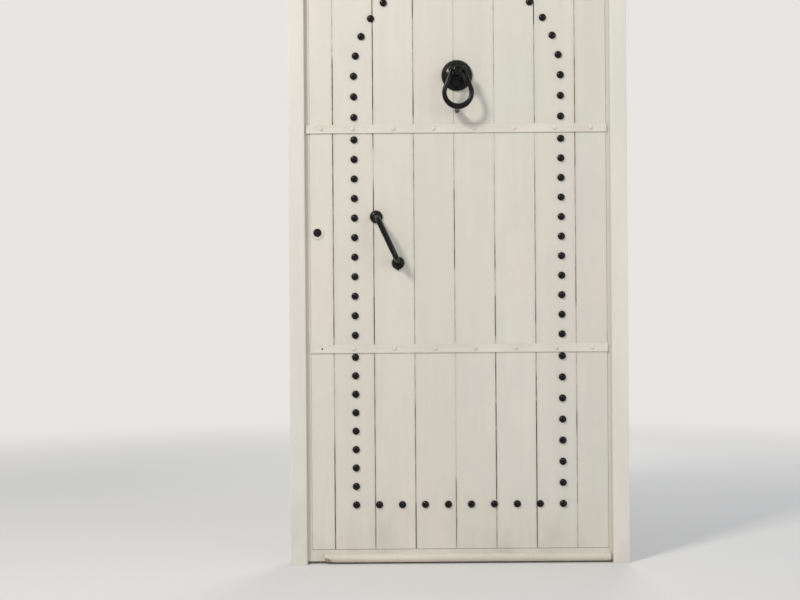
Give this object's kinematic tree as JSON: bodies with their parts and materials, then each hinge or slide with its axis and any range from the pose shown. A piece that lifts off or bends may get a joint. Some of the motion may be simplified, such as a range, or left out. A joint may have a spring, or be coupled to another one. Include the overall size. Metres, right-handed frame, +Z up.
{
  "type": "plank door with a stud arch",
  "caption": "Painted timber plank door hung in its rebated frame, with an arch of studs, iron straps, ring knocker, slanted pull handle and rim lock.",
  "frame": {"origin": "on the floor line, at the middle of the frame's width and depth", "axes": "+Z up, +X to the right seen from outside, -Y towards the outside"},
  "size_m": [1.044, 0.1675, 2.047],
  "materials": {
    "frame_paint": "brushed cream paint",
    "leaf_paint": "brushed cream paint",
    "strap_paint": "cream paint over forged iron",
    "escutcheon_paint": "white paint",
    "black_iron": "black satin paint, forged surface",
    "dark_iron": "dark painted iron",
    "lock_black": "blackened metal",
    "steel": "oiled steel"
  },
  "bodies": {
    "frame": {"jamb_lock_side": "frame_paint", "jamb_hinge_side": "frame_paint", "head": "frame_paint", "keep": "dark_iron", "lower_hinge_hook": "dark_iron", "upper_hinge_hook": "dark_iron", "frame_spikes": "dark_iron"},
    "leaf": {"stile_lock_side": "leaf_paint", "stile_hinge_side": "leaf_paint", "bottom_rail": "leaf_paint", "lower_ledge": "leaf_paint", "upper_ledge": "leaf_paint", "top_rail": "leaf_paint", "plank_1": "leaf_paint", "plank_2": "leaf_paint", "plank_3": "leaf_paint", "plank_4": "leaf_paint", "plank_5": "leaf_paint", "plank_6": "leaf_paint", "plank_7": "leaf_paint", "plank_8": "leaf_paint", "weather_bar": "leaf_paint", "lower_strap": "strap_paint", "upper_strap": "strap_paint", "strap_nails": "strap_paint", "studs": "black_iron", "pull_handle": "black_iron", "knocker_base": "black_iron", "knocker_pin": "black_iron", "tang_plates": "dark_iron", "lock_escutcheon": "escutcheon_paint", "lock_cylinder": "lock_black", "lock_plate": "dark_iron", "lock_case": "dark_iron", "lower_hinge_band": "dark_iron", "upper_hinge_band": "dark_iron", "leaf_spikes": "dark_iron"},
    "knocker": {"knocker_ring": "black_iron"},
    "bolt": {"lock_bolt": "steel"},
    "lock_drive": {"key_plug": "lock_black", "lock_pinion": "steel", "thumb_turn": "dark_iron"}
  },
  "joints": [
    {"name": "leaf_swing", "type": "hinge", "parent": "frame", "child": "leaf", "pos_m": [0.4855, 0.045, 1.0275], "axis": [0, 0, -1], "range_deg": [0, 100]},
    {"name": "knocker_swing", "type": "hinge", "parent": "leaf", "child": "knocker", "pos_m": [0, -0.0665, 1.516], "axis": [-1, 0, 0], "range_deg": [0, 110]},
    {"name": "lock_turn", "type": "hinge", "parent": "leaf", "child": "lock_drive", "pos_m": [-0.435, 0.045, 1.026], "axis": [0, 1, 0], "range_deg": [0, 120]},
    {"name": "bolt_slide", "type": "slide", "parent": "leaf", "child": "bolt", "axis": [-1, 0, 0], "range_m": [0, 0.01885]}
  ],
  "couplings": [
    {"joint": "lock_turn", "follows": "bolt_slide", "rad_per_m": 111.11}
  ]
}
